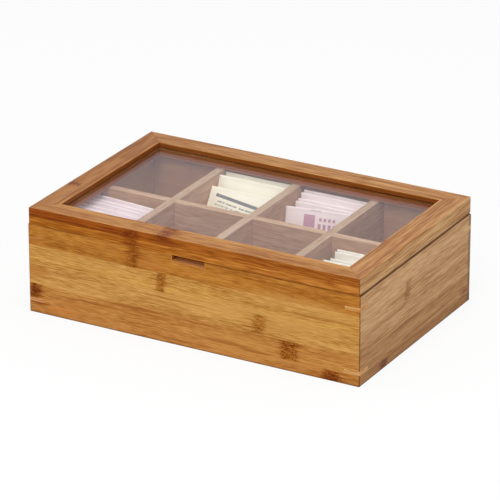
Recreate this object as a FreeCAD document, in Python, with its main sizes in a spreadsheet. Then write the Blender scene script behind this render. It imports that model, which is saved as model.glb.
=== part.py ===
"""Bamboo tea box: a glazed hinged lid over eight compartments, some holding tea sachets.

Frame: X runs along the front to the right, Y runs from front to back, Z is up.
The origin is the middle of the footprint, on the surface that the box stands on.
"""
import FreeCAD, Part
import os
import Sketcher
from FreeCAD import Placement, Rotation, Vector

BOX_SIZES = {
    "box_width": 314,
    "box_depth": 202,
    "base_height": 80,
    "wall": 10,
    "corner_radius": 1.2,
    "edge_ease": 0.5,
    "bottom_thickness": 5,
    "bottom_lift": 4,
    "bottom_reach": 5,
    "divider_thickness": 7.5,
    "divider_drop": 0.3,
    "dado_reach": 2.5,
    "slip_gap": 0.1,
    "key_reach": 9.9,
    "key_thickness": 3.5,
    "key_inset": 12,
    "notch_width": 31,
    "notch_height": 5,
    "notch_reach": 7,
    "notch_radius": 3,
    "notch_offset": -2,
}
LID_SIZES = {
    "lid_thickness": 14.6,
    "lid_inset": 0.8,
    "rail_width": 20,
    "pane_thickness": 3,
    "pane_drop": 4.5,
    "pane_reach": 5,
    "pane_gap": 0.2,
}
HINGE_SIZES = {
    "hinge_inset": 57,
    "hinge_setback": 2.2,
    "bevel_angle": 50.25,
    "knuckle_radius": 2,
    "hinge_pin_radius": 0.9,
    "pin_slack": 0.05,
    "leaf_length": 30,
    "leaf_width": 7,
    "leaf_thickness": 0.9,
    "leaf_shadow": 0.1,
    "hinge_gap": 0.3,
    "screw_spacing": 18,
    "screw_radius": 0.95,
    "screw_head_radius": 1.7,
    "screw_length": 8,
}
# The free width left and right of each group of sachets, the thickness of one of
# them, how far each one's top stays below the rim, counted from the back, and the
# free depth behind it where there is any.
SACHET_SIZES = {
    "sachet_edge": 1,
    "sachet_gap": 0.2,
    "lavender_left_gap": 1.5,
    "lavender_right_gap": 2.4,
    "lavender_thickness": 7,
    "lavender_1_spare": 1.5,
    "lavender_1_drop": 4.7,
    "lavender_2_drop": 5,
    "lavender_3_drop": 4.4,
    "lavender_4_drop": 5.2,
    "lavender_5_drop": 4.8,
    "lavender_6_drop": 5.4,
    "lavender_7_drop": 4.6,
    "cream_left_gap": 0.6,
    "cream_right_gap": 3.3,
    "cream_thickness": 8,
    "cream_1_spare": 2.8,
    "cream_2_spare": 2.5,
    "cream_3_spare": 2.3,
    "cream_1_drop": 2,
    "cream_2_drop": 1.2,
    "cream_3_drop": 6.9,
    "rose_left_gap": 2.2,
    "rose_right_gap": 2.6,
    "rose_thickness": 4.5,
    "rose_1_spare": 5,
    "rose_1_drop": 3.4,
    "rose_2_drop": 4.2,
    "rose_3_drop": 7.6,
    "rose_4_drop": 8.3,
    "rose_5_drop": 8.2,
    "ivory_left_gap": 7.4,
    "ivory_right_gap": 1,
    "ivory_thickness": 4,
    "ivory_1_spare": 1.2,
    "ivory_3_spare": 3.5,
    "ivory_4_spare": 8.5,
    "ivory_1_drop": 8.8,
    "ivory_2_drop": 9.2,
    "ivory_3_drop": 12.2,
    "ivory_4_drop": 8.9,
    "ivory_5_drop": 8.3,
}
# How far each sachet leans back, from the back one to the front one, and how far
# one of them is turned, in degrees.
SACHET_LEAN_ANGLES = {
    "lavender": (3, 3, 4, 4.5, 5, 5.5, 6),
    "cream": (14, 22, 33),
    "rose": (6, 7, 8, 9, 11),
    "ivory": (4, 5, 6, 7, 8),
}
SACHET_ANGLES = {f"{group}_{number}_lean_angle": lean
                 for group, leans in SACHET_LEAN_ANGLES.items()
                 for number, lean in enumerate(leans, start=1)}
SACHET_ANGLES["rose_5_turn_angle"] = 8.7
# The column, counted from the left, and the row of each group's compartment.
SACHET_PLACES = {"lavender": (0, "front"), "cream": (1, "back"), "rose": (2, "back"), "ivory": (3, "front")}

COLUMNS = 4
SIDES = {"front": 0, "right": 90, "back": 180, "left": 270}
CORNERS = {"front_left": (-1, -1), "front_right": (1, -1), "back_right": (1, 1), "back_left": (-1, 1)}
OVERCUT = 1  # a cutter stands this far out of the piece it cuts
TOLERANCE = 0.01  # ends of an edge nearer than this are level

doc = FreeCAD.newDocument("tea_box")
dims = doc.addObject("Spreadsheet::Sheet", "Dims")
all_sizes = BOX_SIZES | LID_SIZES | HINGE_SIZES | SACHET_SIZES | SACHET_ANGLES
for line, (alias, value) in enumerate(all_sizes.items(), start=1):
    dims.set(f"A{line}", alias)
    dims.set(f"B{line}", str(value))
    dims.setAlias(f"B{line}", alias)
doc.recompute()

# Places that several pieces share, as formulas over the sheet.
HALF_WIDTH = "(Dims.box_width / 2)"
HALF_DEPTH = "(Dims.box_depth / 2)"
INNER_X = "(Dims.box_width / 2 - Dims.wall)"
INNER_Y = "(Dims.box_depth / 2 - Dims.wall)"
FLOOR = "(Dims.bottom_lift + Dims.bottom_thickness)"
SEAM = "Dims.base_height"
RIM = "(Dims.base_height - Dims.divider_drop)"
DIVIDER_HEIGHT = f"({RIM} - {FLOOR})"
PITCH = f"((2 * {INNER_X} + Dims.divider_thickness) / {COLUMNS})"
LID_TOP = "(Dims.base_height + Dims.lid_thickness)"
LID_HALF_WIDTH = f"({HALF_WIDTH} - Dims.lid_inset)"
OPENING_X = f"({LID_HALF_WIDTH} - Dims.rail_width)"
OPENING_Y = f"({HALF_DEPTH} - Dims.rail_width)"
PANE_LOW = f"({LID_TOP} - Dims.pane_drop - Dims.pane_thickness)"
HINGE_Y = f"({HALF_DEPTH} - Dims.hinge_setback)"
LEAF_FRONT = f"({HINGE_Y} - Dims.leaf_width)"


def bind(item, **formulas):
    """Tie properties of an object to formulas over the sheet."""
    for name, formula in formulas.items():
        item.setExpression(name, str(formula))
    return item


def put(item, x="0", y="0", z="0", yaw="0", pitch="0", roll="0"):
    """Tie an object's place and turn to formulas over the sheet."""
    item.setExpression("Placement", f"placement(vector({x}; {y}; {z}); rotation({yaw}; {pitch}; {roll}))")
    return item


def box(name, length, width, height, **place):
    """A box with its lowest corner at the given place."""
    return put(bind(doc.addObject("Part::Box", name), Length=length, Width=width, Height=height), **place)


def cylinder(name, radius, length, **place):
    """A cylinder that lies along X, from the given place."""
    item = bind(doc.addObject("Part::Cylinder", name), Radius=radius, Height=length)
    return put(item, pitch="90", **place)


def mitred_board(name, angle, half_length, reach, thickness, low, high):
    """A board with 45 degree ends whose outer face is `reach` from the Z axis."""
    wedge = doc.addObject("Part::Wedge", name)
    bind(wedge, Xmin=f"-{half_length}", Xmax=half_length, Ymin=f"-{reach}", Ymax=f"{thickness} - {reach}",
         X2min=f"{thickness} - {half_length}", X2max=f"{half_length} - {thickness}",
         Zmin=low, Zmax=high, Z2min=low, Z2max=high)
    wedge.Placement = Placement(Vector(), Rotation(Vector(0, 0, 1), angle))
    return wedge


def fused(name, items):
    joined = doc.addObject("Part::MultiFuse", name)
    joined.Shapes = items
    return joined


def cut(name, base, tool):
    result = doc.addObject("Part::Cut", name)
    result.Base = base
    result.Tool = tool
    return result


def common(name, base, tool):
    result = doc.addObject("Part::Common", name)
    result.Base = base
    result.Tool = tool
    return result


def group_of(name, items):
    bundle = doc.addObject("Part::Compound", name)
    bundle.Links = items
    return bundle


pieces = []


def keep(item, label):
    """Make an object one of the finished pieces, under its own label."""
    item.Label = label
    pieces.append(item)
    return item


def new_sketch(body, name, role, lift="0"):
    """A sketch on one of the body's origin planes, lifted along that plane's normal."""
    sketch = body.newObject("Sketcher::SketchObject", name)
    plane = next(feature for feature in body.Origin.OriginFeatures if feature.Role == role)
    sketch.AttachmentSupport = [(plane, "")]
    sketch.MapMode = "FlatFace"
    sketch.setExpression("AttachmentOffset.Base.z", lift)
    return sketch


def polygon(sketch, corners):
    """A closed outline whose corners are tied to pairs of formulas for x and y."""
    first, count = sketch.GeometryCount, len(corners)
    rough = [Rotation(Vector(0, 0, 1), 360 * corner / count).multVec(Vector(1, 0, 0)) for corner in range(count)]
    for start, end in zip(rough, rough[1:] + rough[:1]):
        sketch.addGeometry(Part.LineSegment(start, end), False)
    for side in range(count):
        sketch.addConstraint(Sketcher.Constraint("Coincident", first + side, 2, first + (side + 1) % count, 1))
    for corner, (x, y) in enumerate(corners):
        for direction, start, formula in (("DistanceX", rough[corner].x, x), ("DistanceY", rough[corner].y, y)):
            size = sketch.addConstraint(Sketcher.Constraint(direction, -1, 1, first + corner, 1, start))
            sketch.setExpression(f"Constraints[{size}]", formula)


def centred_rectangle(sketch, half_x, half_y):
    """A rectangle about the sketch's origin."""
    polygon(sketch, [(f"-{half_x}", f"-{half_y}"), (half_x, f"-{half_y}"),
                     (half_x, half_y), (f"-{half_x}", half_y)])


def edges_where(feature, test):
    """Names of the feature's edges whose two ends pass a test."""
    names = []
    for number, edge in enumerate(feature.Shape.Edges, start=1):
        ends = [vertex.Point for vertex in edge.Vertexes]
        if len(ends) == 2 and test(*ends):
            names.append(f"Edge{number}")
    return names


def eased_frame(name, half_x, half_y, thickness, low, height):
    """A rectangular frame with rounded outer corners and eased edges, before it is sawn apart."""
    body = doc.addObject("PartDesign::Body", name)
    put(body, z=low)
    outline = new_sketch(body, f"{name}_outline", "XY_Plane")
    centred_rectangle(outline, half_x, half_y)
    centred_rectangle(outline, f"({half_x} - {thickness})", f"({half_y} - {thickness})")
    pad = body.newObject("PartDesign::Pad", f"{name}_pad")
    pad.Profile = outline
    bind(pad, Length=height)
    doc.recompute()
    reach = max(abs(vertex.X) for vertex in pad.Shape.Vertexes) - TOLERANCE
    corners = body.newObject("PartDesign::Fillet", f"{name}_corners")
    corners.Base = (pad, edges_where(pad, lambda a, b: abs(a.z - b.z) > TOLERANCE and abs(a.x) > reach))
    bind(corners, Radius="Dims.corner_radius")
    doc.recompute()
    eased = body.newObject("PartDesign::Chamfer", f"{name}_eased")
    eased.Base = (corners, edges_where(corners, lambda a, b: abs(a.z - b.z) < TOLERANCE))
    bind(eased, Size="Dims.edge_ease")
    doc.recompute()
    return body


def divider_centre(number):
    """X of the numbered cross divider's middle plane, counted from the left."""
    return f"({PITCH} * {number} - {INNER_X} - Dims.divider_thickness / 2)"


# ---- hinges: places shared by the wood and the metal ----

def hinge_centre(side):
    return f"({side} * ({HALF_WIDTH} - Dims.hinge_inset))"


def bevel_cutter(name, roll):
    """Saws the back edge at the seam to a bevel, so that the lid can lean back."""
    return box(name, f"Dims.box_width + {2 * OVERCUT}", "4 * Dims.hinge_setback", "4 * Dims.hinge_setback",
               x=f"-{HALF_WIDTH} - {OVERCUT}", y=HINGE_Y, z=SEAM, roll=roll)


def knuckle_relief(name, side):
    return cylinder(name, "Dims.knuckle_radius + Dims.hinge_gap", "Dims.leaf_length + 2 * Dims.hinge_gap",
                    x=f"{hinge_centre(side)} - Dims.leaf_length / 2 - Dims.hinge_gap", y=HINGE_Y, z=SEAM)


def leaf_mortise(name, side, low):
    """The shallow recess that holds a hinge leaf, `low` being its lower side."""
    return box(name, "Dims.leaf_length", "Dims.leaf_width", "Dims.leaf_thickness + Dims.leaf_shadow",
               x=f"{hinge_centre(side)} - Dims.leaf_length / 2", y=LEAF_FRONT, z=low)


SCREW_Y = f"({LEAF_FRONT} + (Dims.leaf_width - Dims.knuckle_radius - Dims.hinge_gap) / 2)"


def screw_places(side):
    return [f"{hinge_centre(side)} + {end} * Dims.screw_spacing / 2" for end in (-1, 1)]


def screw(name, x, roll):
    """A countersunk wood screw that points down, or up when turned over."""
    body = doc.addObject("PartDesign::Body", name)
    profile = new_sketch(body, f"{name}_profile", "XZ_Plane")
    head, shank, face = "Dims.screw_head_radius", "Dims.screw_radius", "-Dims.leaf_shadow / 2"
    polygon(profile, [("0", "0"), (head, "0"), (head, face), (shank, f"{face} - ({head} - {shank})"),
                      (shank, f"{shank} - Dims.screw_length"), ("0", "-Dims.screw_length")])
    turned = body.newObject("PartDesign::Revolution", f"{name}_turned")
    turned.Profile = profile
    turned.ReferenceAxis = (profile, ["V_Axis"])
    turned.Angle = 360
    slot_sketch = new_sketch(body, f"{name}_slot_outline", "XY_Plane")
    centred_rectangle(slot_sketch, "Dims.screw_head_radius", "(Dims.screw_radius / 4)")
    slot = body.newObject("PartDesign::Pocket", f"{name}_slot")
    slot.Profile = slot_sketch
    bind(slot, Length="Dims.screw_radius / 3")
    lift = f"{SEAM} - Dims.leaf_shadow / 2" if roll == 0 else f"{SEAM} + Dims.leaf_shadow / 2"
    put(body, x=x, y=SCREW_Y, z=lift, roll=roll)
    return body


def hinge_leaf(name, side, low, knuckles):
    """One leaf with its knuckles: fractions of the leaf's length, bored for the pin."""
    start = f"{hinge_centre(side)} - Dims.leaf_length / 2"
    solids = [box(f"{name}_plate", "Dims.leaf_length",
                  "Dims.leaf_width - Dims.knuckle_radius - Dims.hinge_gap", "Dims.leaf_thickness",
                  x=start, y=LEAF_FRONT, z=low)]
    for number, (near, far) in enumerate(knuckles, start=1):
        near_gap = "Dims.hinge_gap / 2" if near > 0 else "0"
        far_gap = "Dims.hinge_gap / 2" if far < 1 else "0"
        begin = f"{start} + {near} * Dims.leaf_length + {near_gap}"
        length = f"({far} - {near}) * Dims.leaf_length - {near_gap} - {far_gap}"
        solids.append(box(f"{name}_tab_{number}", length, "Dims.leaf_width", "Dims.leaf_thickness",
                          x=begin, y=LEAF_FRONT, z=low))
        solids.append(cylinder(f"{name}_knuckle_{number}", "Dims.knuckle_radius", length,
                               x=begin, y=HINGE_Y, z=SEAM))
    slack = "Dims.pin_slack" if name.startswith("lid") else "0"
    holes = [cylinder(f"{name}_bore", f"Dims.hinge_pin_radius + {slack}", f"Dims.leaf_length + {2 * OVERCUT}",
                      x=f"{start} - {OVERCUT}", y=HINGE_Y, z=SEAM)]
    roll = 180 if name.startswith("lid") else 0
    holes += [screw(f"{name}_screw_hole_{number}", x, roll)
              for number, x in enumerate(screw_places(side), start=1)]
    return cut(name, fused(f"{name}_blank", solids), fused(f"{name}_holes", holes))


# ---- base: four mitred panels sawn from one milled frame ----

def corner_key_blank(name, signs, middle):
    """A thin board set across a corner, whose inner edge is `key_reach` from the corner."""
    x_sign, y_sign = signs
    angle = {(-1, -1): 225, (1, -1): 315, (1, 1): 45, (-1, 1): 135}[signs]
    span = "4 * Dims.key_reach"
    inner = f"({HALF_WIDTH} - Dims.key_reach * sqrt(2) / 2)"
    inner_y = f"({HALF_DEPTH} - Dims.key_reach * sqrt(2) / 2)"
    side_step = "(2 * Dims.key_reach * sqrt(2) / 2)"
    x = f"{x_sign} * {inner} + {y_sign} * {side_step}"
    y = f"{y_sign} * {inner_y} - {x_sign} * {side_step}"
    return box(name, "2 * Dims.key_reach", span, "Dims.key_thickness",
               x=x, y=y, z=f"{middle} - Dims.key_thickness / 2", yaw=angle)


base_blank = eased_frame("base_blank", HALF_WIDTH, HALF_DEPTH, "Dims.wall", "0", "Dims.base_height")
key_blanks = {f"corner_key_{corner}_{level}": corner_key_blank(f"key_blank_{corner}_{level}", signs, middle)
              for corner, signs in CORNERS.items()
              for level, middle in (("lower", "Dims.key_inset"), ("upper", f"({SEAM} - Dims.key_inset)"))}

base_cutters = list(key_blanks.values())
base_cutters.append(box("bottom_groove", f"2 * ({INNER_X} + Dims.bottom_reach)",
                        f"2 * ({INNER_Y} + Dims.bottom_reach)", "Dims.bottom_thickness",
                        x=f"-({INNER_X} + Dims.bottom_reach)", y=f"-({INNER_Y} + Dims.bottom_reach)",
                        z="Dims.bottom_lift"))
DADO_WIDTH = "Dims.divider_thickness + 2 * Dims.slip_gap"
for number in range(1, COLUMNS):
    base_cutters.append(box(f"cross_dado_{number}", DADO_WIDTH, f"2 * ({INNER_Y} + Dims.dado_reach)",
                            f"Dims.base_height - {FLOOR} + {OVERCUT}",
                            x=f"{divider_centre(number)} - ({DADO_WIDTH}) / 2",
                            y=f"-({INNER_Y} + Dims.dado_reach)", z=FLOOR))
base_cutters.append(box("long_dado", f"2 * ({INNER_X} + Dims.dado_reach)", DADO_WIDTH,
                        f"Dims.base_height - {FLOOR} + {OVERCUT}",
                        x=f"-({INNER_X} + Dims.dado_reach)", y=f"-({DADO_WIDTH}) / 2", z=FLOOR))
base_cutters.append(bevel_cutter("base_bevel", "-Dims.bevel_angle"))
for side, hand in (("left", -1), ("right", 1)):
    base_cutters.append(knuckle_relief(f"base_knuckle_relief_{side}", hand))
    base_cutters.append(leaf_mortise(f"base_mortise_{side}", hand,
                                     f"{SEAM} - Dims.leaf_thickness - Dims.leaf_shadow"))
    base_cutters += [screw(f"base_pilot_{side}_{number}", x, 0)
                     for number, x in enumerate(screw_places(hand), start=1)]


def finger_notch():
    """A shallow scoop in the front's top edge, with round lower corners."""
    body = doc.addObject("PartDesign::Body", "finger_notch")
    outline = new_sketch(body, "notch_outline", "XZ_Plane")
    centred_rectangle(outline, "(Dims.notch_width / 2)", "Dims.notch_height")
    pad = body.newObject("PartDesign::Pad", "notch_pad")
    pad.Profile = outline
    pad.SideType = "Symmetric"
    bind(pad, Length="2 * Dims.notch_reach")
    doc.recompute()
    rounded = body.newObject("PartDesign::Fillet", "notch_corners")
    rounded.Base = (pad, edges_where(pad, lambda a, b: abs(a.y - b.y) > TOLERANCE))
    bind(rounded, Radius="Dims.notch_radius")
    put(body, x="Dims.notch_offset", y=f"-{HALF_DEPTH}", z=SEAM)
    return body


base_cutters.append(finger_notch())
base_frame = cut("base_frame", base_blank, fused("base_cutters", base_cutters))

for side, angle in SIDES.items():
    half_length, reach = (HALF_WIDTH, HALF_DEPTH) if side in ("front", "back") else (HALF_DEPTH, HALF_WIDTH)
    board = mitred_board(f"{side}_board", angle, half_length, reach, "Dims.wall", "0", "Dims.base_height")
    keep(common(f"{side}_panel_piece", board, base_frame), f"{side}_panel")

for label, blank in key_blanks.items():
    keep(common(f"{label}_piece", base_blank, blank), label)

keep(box("bottom_piece", f"2 * ({INNER_X} + Dims.bottom_reach)", f"2 * ({INNER_Y} + Dims.bottom_reach)",
         "Dims.bottom_thickness", x=f"-({INNER_X} + Dims.bottom_reach)",
         y=f"-({INNER_Y} + Dims.bottom_reach)", z="Dims.bottom_lift"), "bottom_panel")

# ---- dividers: one long board and three cross boards, slotted together ----

SLOT_DEPTH = f"({DIVIDER_HEIGHT} / 2 + Dims.slip_gap)"
HALF_LONG = f"({INNER_X} + Dims.dado_reach - Dims.slip_gap)"
HALF_CROSS = f"({INNER_Y} + Dims.dado_reach - Dims.slip_gap)"
long_board = box("long_board", f"2 * {HALF_LONG}", "Dims.divider_thickness", DIVIDER_HEIGHT,
                 x=f"-{HALF_LONG}", y="-Dims.divider_thickness / 2", z=FLOOR)
long_slots = [box(f"long_slot_{number}", DADO_WIDTH, f"{DADO_WIDTH} + {2 * OVERCUT}", f"{SLOT_DEPTH} + {OVERCUT}",
                  x=f"{divider_centre(number)} - ({DADO_WIDTH}) / 2", y=f"-({DADO_WIDTH}) / 2 - {OVERCUT}",
                  z=f"{RIM} - {SLOT_DEPTH}")
              for number in range(1, COLUMNS)]
keep(cut("long_divider_piece", long_board, fused("long_slots", long_slots)), "long_divider")

for number in range(1, COLUMNS):
    board = box(f"cross_board_{number}", "Dims.divider_thickness", f"2 * {HALF_CROSS}", DIVIDER_HEIGHT,
                x=f"{divider_centre(number)} - Dims.divider_thickness / 2", y=f"-{HALF_CROSS}", z=FLOOR)
    slot = box(f"cross_slot_{number}", f"{DADO_WIDTH} + {2 * OVERCUT}", DADO_WIDTH, f"{SLOT_DEPTH} + {OVERCUT}",
               x=f"{divider_centre(number)} - ({DADO_WIDTH}) / 2 - {OVERCUT}", y=f"-({DADO_WIDTH}) / 2",
               z=f"{FLOOR} - {OVERCUT}")
    keep(cut(f"cross_divider_piece_{number}", board, slot), f"cross_divider_{number}")

# ---- lid: four mitred rails sawn from one milled frame, and the pane in their groove ----

lid_blank = eased_frame("lid_blank", LID_HALF_WIDTH, HALF_DEPTH, "Dims.rail_width", SEAM, "Dims.lid_thickness")
lid_cutters = [box("pane_groove", f"2 * ({OPENING_X} + Dims.pane_reach)", f"2 * ({OPENING_Y} + Dims.pane_reach)",
                   "Dims.pane_thickness + Dims.pane_gap", x=f"-({OPENING_X} + Dims.pane_reach)",
                   y=f"-({OPENING_Y} + Dims.pane_reach)", z=PANE_LOW),
               bevel_cutter("lid_bevel", "Dims.bevel_angle - 90")]
for side, hand in (("left", -1), ("right", 1)):
    lid_cutters.append(knuckle_relief(f"lid_knuckle_relief_{side}", hand))
    lid_cutters.append(leaf_mortise(f"lid_mortise_{side}", hand, SEAM))
    lid_cutters += [screw(f"lid_pilot_{side}_{number}", x, 180)
                    for number, x in enumerate(screw_places(hand), start=1)]
lid_frame = cut("lid_frame", lid_blank, fused("lid_cutters", lid_cutters))

RAIL_LABELS = {"front": "lid_front_rail", "right": "lid_right_stile",
               "back": "lid_back_rail", "left": "lid_left_stile"}
for side, angle in SIDES.items():
    across = side in ("front", "back")
    half_length, reach = (LID_HALF_WIDTH, HALF_DEPTH) if across else (HALF_DEPTH, LID_HALF_WIDTH)
    board = mitred_board(f"{side}_lid_board", angle, half_length, reach, "Dims.rail_width", SEAM, LID_TOP)
    keep(common(f"{side}_rail_piece", board, lid_frame), RAIL_LABELS[side])

PANE_X = f"({OPENING_X} + Dims.pane_reach - Dims.pane_gap)"
PANE_Y = f"({OPENING_Y} + Dims.pane_reach - Dims.pane_gap)"
keep(box("pane_piece", f"2 * {PANE_X}", f"2 * {PANE_Y}", "Dims.pane_thickness",
         x=f"-{PANE_X}", y=f"-{PANE_Y}", z=PANE_LOW), "window_pane")

# ---- hinges: two brass butt hinges let into the seam ----

OUTER_KNUCKLE_SHARES = [(0, 0.3), (0.7, 1)]
MIDDLE_KNUCKLE_SHARES = [(0.3, 0.7)]
screws = {"base": [], "lid": []}
for side, hand in (("left", -1), ("right", 1)):
    keep(hinge_leaf(f"base_leaf_{side}", hand, f"{SEAM} - Dims.leaf_thickness - Dims.leaf_shadow / 2",
                    OUTER_KNUCKLE_SHARES), f"hinge_{side}_base_leaf")
    keep(hinge_leaf(f"lid_leaf_{side}", hand, f"{SEAM} + Dims.leaf_shadow / 2",
                    MIDDLE_KNUCKLE_SHARES), f"hinge_{side}_lid_leaf")
    keep(cylinder(f"hinge_pin_{side}", "Dims.hinge_pin_radius", "Dims.leaf_length",
                  x=f"{hinge_centre(hand)} - Dims.leaf_length / 2", y=HINGE_Y, z=SEAM), f"hinge_{side}_pin")
    for number, x in enumerate(screw_places(hand), start=1):
        screws["base"].append(screw(f"base_screw_{side}_{number}", x, 0))
        screws["lid"].append(screw(f"lid_screw_{side}_{number}", x, 180))
keep(group_of("base_screws", screws["base"]), "hinge_screws_base")
keep(group_of("lid_screws", screws["lid"]), "hinge_screws_lid")


# ---- tea sachets: soft paper envelopes that stand in four of the compartments ----

def sachet(name, width, height, thickness, **place):
    """A flat envelope that swells towards its middle, standing on its thin lower edge."""
    body = doc.addObject("PartDesign::Body", name)
    profile = new_sketch(body, f"{name}_profile", "YZ_Plane")
    half_edge, tall, swell = 0.5, 60.0, 2.0  # a rough outline, which the sizes below pull into shape
    low_left, low_right = Vector(-half_edge, 0, 0), Vector(half_edge, 0, 0)
    top_left, top_right = Vector(-half_edge, tall, 0), Vector(half_edge, tall, 0)
    # Both arcs run anticlockwise, so each side starts where the one before it ends.
    bottom, right, top, left = (profile.addGeometry(curve, False) for curve in (
        Part.LineSegment(low_left, low_right),
        Part.Arc(low_right, Vector(swell, tall / 2, 0), top_right),
        Part.LineSegment(top_right, top_left),
        Part.Arc(top_left, Vector(-swell, tall / 2, 0), low_left)))
    for first, second in ((bottom, right), (right, top), (top, left), (left, bottom)):
        profile.addConstraint(Sketcher.Constraint("Coincident", first, 2, second, 1))
    profile.addConstraint(Sketcher.Constraint("Symmetric", bottom, 1, bottom, 2, -1, 1))
    profile.addConstraint(Sketcher.Constraint("Horizontal", bottom))
    profile.addConstraint(Sketcher.Constraint("Symmetric", top, 1, top, 2, -2))
    bulge = f"({thickness} - Dims.sachet_edge)"
    rough_radius = (tall ** 2 / 4 + (swell - half_edge) ** 2) / (2 * (swell - half_edge))
    arc_radius = f"({height} ^ 2 + {bulge} ^ 2) / (4 * {bulge})"
    for kind, places, rough, formula in (
            ("DistanceX", (bottom, 1, bottom, 2), 2 * half_edge, "Dims.sachet_edge"),
            ("DistanceX", (top, 2, top, 1), 2 * half_edge, "Dims.sachet_edge"),
            ("DistanceY", (bottom, 2, top, 1), tall, height),
            ("Radius", (right,), rough_radius, arc_radius),
            ("Radius", (left,), rough_radius, arc_radius)):
        size = profile.addConstraint(Sketcher.Constraint(kind, *places, rough))
        profile.setExpression(f"Constraints[{size}]", formula)
    pad = body.newObject("PartDesign::Pad", f"{name}_pad")
    pad.Profile = profile
    pad.SideType = "Symmetric"
    bind(pad, Length=width)
    return put(body, **place)


def compartment_left(column):
    return f"({PITCH} * {column} - {INNER_X})"


def named_or_zero(name):
    """The sheet's entry of that name, or zero for a sachet that has none."""
    return f"Dims.{name}" if name in all_sizes else "0"


for group, (column, row) in SACHET_PLACES.items():
    left_gap, right_gap = f"Dims.{group}_left_gap", f"Dims.{group}_right_gap"
    thickness = f"Dims.{group}_thickness"
    width = f"({PITCH} - Dims.divider_thickness - {left_gap} - {right_gap})"
    middle = f"{compartment_left(column)} + {left_gap} + {width} / 2"
    foot = INNER_Y if row == "back" else "(-Dims.divider_thickness / 2)"
    lean_behind, turn_behind = "0", "0"
    for number in range(1, len(SACHET_LEAN_ANGLES[group]) + 1):
        own = f"{group}_{number}"
        lean, turn = f"Dims.{own}_lean_angle", named_or_zero(f"{own}_turn_angle")
        height = f"(({DIVIDER_HEIGHT} - Dims.{own}_drop) / cos({lean}))"
        # The top of each sachet rests on the face of the one behind it.
        fan = f"{height} * abs(sin({lean} - {lean_behind}))"
        twist = f"{width} / 2 * abs(sin({turn} - {turn_behind}))"
        room = f"{thickness} + Dims.sachet_gap" if number > 1 else f"{thickness} / 2 + Dims.sachet_gap"
        foot = f"{foot} - ({room} + {fan}) / cos({lean_behind}) - {twist} - {named_or_zero(f'{own}_spare')}"
        raised = f"{FLOOR} + Dims.sachet_edge / 2 * sin({lean})"
        keep(sachet(own, width, height, thickness, x=middle, y=foot, z=raised,
                    yaw=turn, roll=f"-{lean}"), f"{group}_sachet_{number}")
        lean_behind, turn_behind = lean, turn

# ---- recompute, check and write ----

doc.recompute()
for item in doc.Objects:
    if {"Invalid", "Error"} & set(item.State):
        raise RuntimeError(f"{item.Name} did not recompute: {item.State}")
os.makedirs("parts", exist_ok=True)
for item in pieces:
    shape = item.Shape
    if shape.isNull() or not shape.isValid() or not shape.Solids:
        raise RuntimeError(f"{item.Label} is not a valid solid")
    print(f"{item.Label:28s} solids {len(shape.Solids)} volume {shape.Volume:10.1f}")
for item in pieces:
    item.Shape.exportStep(f"parts/{item.Label}.step")
print(len(pieces), "pieces written")
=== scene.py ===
import math
import random
from collections import namedtuple

import bmesh
import bpy
from mathutils import Matrix, Vector, noise


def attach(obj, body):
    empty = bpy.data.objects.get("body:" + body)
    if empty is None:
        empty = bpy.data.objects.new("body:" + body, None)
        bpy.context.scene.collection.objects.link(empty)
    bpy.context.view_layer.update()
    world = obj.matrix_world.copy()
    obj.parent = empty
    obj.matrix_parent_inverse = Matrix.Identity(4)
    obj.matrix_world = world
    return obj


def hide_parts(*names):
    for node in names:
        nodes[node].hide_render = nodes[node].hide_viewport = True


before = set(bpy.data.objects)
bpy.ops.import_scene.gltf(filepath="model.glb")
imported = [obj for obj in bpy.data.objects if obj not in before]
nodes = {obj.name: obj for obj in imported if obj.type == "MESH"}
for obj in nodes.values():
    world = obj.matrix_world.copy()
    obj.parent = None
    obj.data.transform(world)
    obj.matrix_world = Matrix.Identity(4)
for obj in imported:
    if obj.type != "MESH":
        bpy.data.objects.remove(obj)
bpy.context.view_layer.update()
MM = 0.001

# The box's own sizes in millimetres, as the CAD has them.
BOX_WIDTH, BOX_DEPTH, BASE_HEIGHT, WALL = 314.0, 202.0, 80.0, 10.0
FLOOR_TOP, DIVIDER, DIVIDER_DROP, COLUMNS = 9.0, 7.5, 0.3, 4
LID_THICKNESS, LID_INSET, RAIL_WIDTH, PANE_DROP, PANE_THICKNESS = 14.6, 0.8, 20.0, 4.5, 3.0
NOTCH_CENTRE, NOTCH_HALF, NOTCH_HEIGHT, NOTCH_REACH = -2.0, 15.5, 5.0, 7.0

# What follows from them.
HALF_WIDTH, HALF_DEPTH, LID_HALF_WIDTH = BOX_WIDTH / 2, BOX_DEPTH / 2, BOX_WIDTH / 2 - LID_INSET
INNER_X, INNER_Y = HALF_WIDTH - WALL, HALF_DEPTH - WALL
OPENING_X, OPENING_Y = LID_HALF_WIDTH - RAIL_WIDTH, HALF_DEPTH - RAIL_WIDTH
PITCH = (2 * INNER_X + DIVIDER) / COLUMNS
RIM = BASE_HEIGHT - DIVIDER_DROP
LID_TOP = BASE_HEIGHT + LID_THICKNESS
PANE_TOP = LID_TOP - PANE_DROP
NOTCH_BOTTOM = BASE_HEIGHT - NOTCH_HEIGHT
NOTCH_END = -HALF_DEPTH + NOTCH_REACH

# ---------------------------------------------------------------- camera

CAMERA_TARGET = Vector((-12.79, 22.13, 40.0)) * MM
CAMERA_AZIMUTH, CAMERA_ELEVATION = math.radians(29.17), math.radians(22.98)
CAMERA_DISTANCE, CAMERA_LENS, SENSOR = 3.15535, 267.3, 36.0
CAMERA_NEAR, CAMERA_FAR = 0.1, 50.0

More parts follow.
